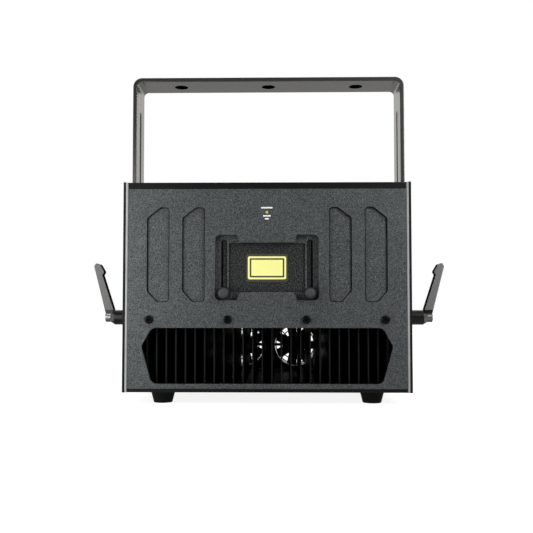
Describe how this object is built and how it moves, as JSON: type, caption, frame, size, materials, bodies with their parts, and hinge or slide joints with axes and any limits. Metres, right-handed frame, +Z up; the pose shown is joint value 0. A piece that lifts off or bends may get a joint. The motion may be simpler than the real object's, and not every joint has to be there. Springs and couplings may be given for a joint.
{
  "type": "laser show projector",
  "caption": "Boxy laser show projector on rubber feet with a shuttered aperture, finned air vent, rear connectors and a slotted hanging yoke held by clamp levers.",
  "frame": {"origin": "on the floor under the middle of the bounding box", "axes": "+X to the right seen from the front, +Y to the rear, +Z up; the aperture faces -Y"},
  "size_m": [0.4394, 0.2732, 0.3921],
  "materials": {
    "front_grey": "matte",
    "shell_black": "matte",
    "bare_aluminium": "satin",
    "sink_black": "satin",
    "shutter_black": "matte",
    "label_yellow": "satin",
    "knob_black": "satin",
    "lamp_green": "gloss",
    "screw_black": "satin",
    "foot_rubber": "matte",
    "window_glass": "polished",
    "galvo_steel": "satin",
    "scan_mirror": "polished",
    "laser_metal": "satin",
    "supply_metal": "satin",
    "circuit_green": "satin",
    "fan_black": "satin",
    "guard_chrome": "polished",
    "socket_black": "satin",
    "rocker_black": "gloss",
    "socket_nickel": "satin",
    "eye_steel": "satin",
    "yoke_grey": "satin",
    "washer_nylon": "matte",
    "clamp_steel": "satin",
    "lever_black": "satin"
  },
  "bodies": {
    "projector": {"front_panel": "front_grey", "left_side_panel": "shell_black", "right_side_panel": "shell_black", "top_cover": "shell_black", "base_plate": "shell_black", "rear_panel": "shell_black", "optical_bench": "bare_aluminium", "left_top_rail": "bare_aluminium", "right_top_rail": "bare_aluminium", "scanner_mount": "bare_aluminium", "window_frame": "bare_aluminium", "heat_sink": "sink_black", "emission_lamp": "lamp_green", "front_panel_screws": "screw_black", "side_panel_screws": "screw_black", "top_cover_screws": "screw_black", "rear_screws": "screw_black", "foot_screws": "screw_black", "front_left_foot": "foot_rubber", "front_right_foot": "foot_rubber", "rear_left_foot": "foot_rubber", "rear_right_foot": "foot_rubber", "window_seal": "foot_rubber", "aperture_window": "window_glass", "horizontal_galvo": "galvo_steel", "vertical_galvo": "galvo_steel", "combiner_mirrors": "scan_mirror", "red_laser_module": "laser_metal", "green_laser_module": "laser_metal", "blue_laser_module": "laser_metal", "power_supply": "supply_metal", "scanner_driver": "circuit_green", "control_board": "circuit_green", "left_fan_frame": "fan_black", "right_fan_frame": "fan_black", "left_fan_guard": "guard_chrome", "right_fan_guard": "guard_chrome", "mains_inlet": "socket_black", "data_sockets": "socket_black", "network_socket": "socket_black", "signal_sockets": "socket_nickel", "key_switch": "socket_nickel", "safety_eye": "eye_steel"},
    "shutter": {"aperture_shutter": "shutter_black", "shutter_label": "label_yellow"},
    "left_knob": {"left_shutter_knob": "knob_black"},
    "right_knob": {"right_shutter_knob": "knob_black"},
    "left_fan": {"left_fan_rotor": "fan_black"},
    "right_fan": {"right_fan_rotor": "fan_black"},
    "horizontal_scanner": {"horizontal_mirror": "scan_mirror"},
    "vertical_scanner": {"vertical_mirror": "scan_mirror"},
    "rocker": {"mains_rocker": "rocker_black"},
    "key": {"switch_key": "socket_nickel"},
    "yoke_pivot": {"pivot_washers": "washer_nylon"},
    "yoke_frame": {"yoke": "yoke_grey"},
    "left_clamp": {"left_clamp_screw": "clamp_steel"},
    "right_clamp": {"right_clamp_screw": "clamp_steel"},
    "left_handle": {"left_clamp_handle": "lever_black"},
    "right_handle": {"right_clamp_handle": "lever_black"}
  },
  "joints": [
    {"name": "shutter_slide", "type": "slide", "parent": "projector", "child": "shutter", "axis": [0, 0, 1], "range_m": [0, 0.055]},
    {"name": "left_knob_turn", "type": "hinge", "parent": "shutter", "child": "left_knob", "pos_m": [-0.0479, -0.12125, 0.1232], "axis": [0, -1, 0], "range_deg": [0, 360]},
    {"name": "left_fan_spin", "type": "hinge", "parent": "projector", "child": "left_fan", "pos_m": [-0.036, 0.10275, 0.0529], "axis": [0, 1, 0], "continuous": true},
    {"name": "left_clamp_turn", "type": "hinge", "parent": "projector", "child": "left_clamp", "pos_m": [-0.168, -0.01825, 0.0941], "axis": [-1, 0, 0], "range_deg": [-180, 180]},
    {"name": "left_handle_lift", "type": "slide", "parent": "left_clamp", "child": "left_handle", "axis": [-1, 0, 0], "range_m": [0, 0.004], "stiffness_N_per_m": 800},
    {"name": "right_knob_turn", "type": "hinge", "parent": "shutter", "child": "right_knob", "pos_m": [0.0479, -0.12125, 0.1232], "axis": [0, -1, 0], "range_deg": [0, 360]},
    {"name": "right_fan_spin", "type": "hinge", "parent": "projector", "child": "right_fan", "pos_m": [0.036, 0.10275, 0.0529], "axis": [0, 1, 0], "continuous": true},
    {"name": "right_clamp_turn", "type": "hinge", "parent": "projector", "child": "right_clamp", "pos_m": [0.168, -0.01825, 0.0941], "axis": [1, 0, 0], "range_deg": [-180, 180]},
    {"name": "right_handle_lift", "type": "slide", "parent": "right_clamp", "child": "right_handle", "axis": [1, 0, 0], "range_m": [0, 0.004], "stiffness_N_per_m": 800},
    {"name": "horizontal_scan", "type": "hinge", "parent": "projector", "child": "horizontal_scanner", "pos_m": [0, -0.07695, 0.1379], "axis": [0, 1, 0], "range_deg": [-20, 20], "stiffness_Nm_per_rad": 0.01},
    {"name": "vertical_scan", "type": "hinge", "parent": "projector", "child": "vertical_scanner", "pos_m": [0, -0.07695, 0.1519], "axis": [1, 0, 0], "range_deg": [-20, 20], "stiffness_Nm_per_rad": 0.01},
    {"name": "rocker_tilt", "type": "hinge", "parent": "projector", "child": "rocker", "pos_m": [0.119, 0.10975, 0.1992], "axis": [1, 0, 0], "range_deg": [0, 18]},
    {"name": "key_turn", "type": "hinge", "parent": "projector", "child": "key", "pos_m": [0.07125, 0.10975, 0.2042], "axis": [0, -1, 0], "range_deg": [0, 90]},
    {"name": "yoke_tilt", "type": "hinge", "parent": "projector", "child": "yoke_pivot", "pos_m": [0, -0.01825, 0.0941], "axis": [1, 0, 0], "range_deg": [-100, 100]},
    {"name": "yoke_height", "type": "slide", "parent": "yoke_pivot", "child": "yoke_frame", "axis": [0, 0, 1], "range_m": [-0.06, 0]}
  ]
}
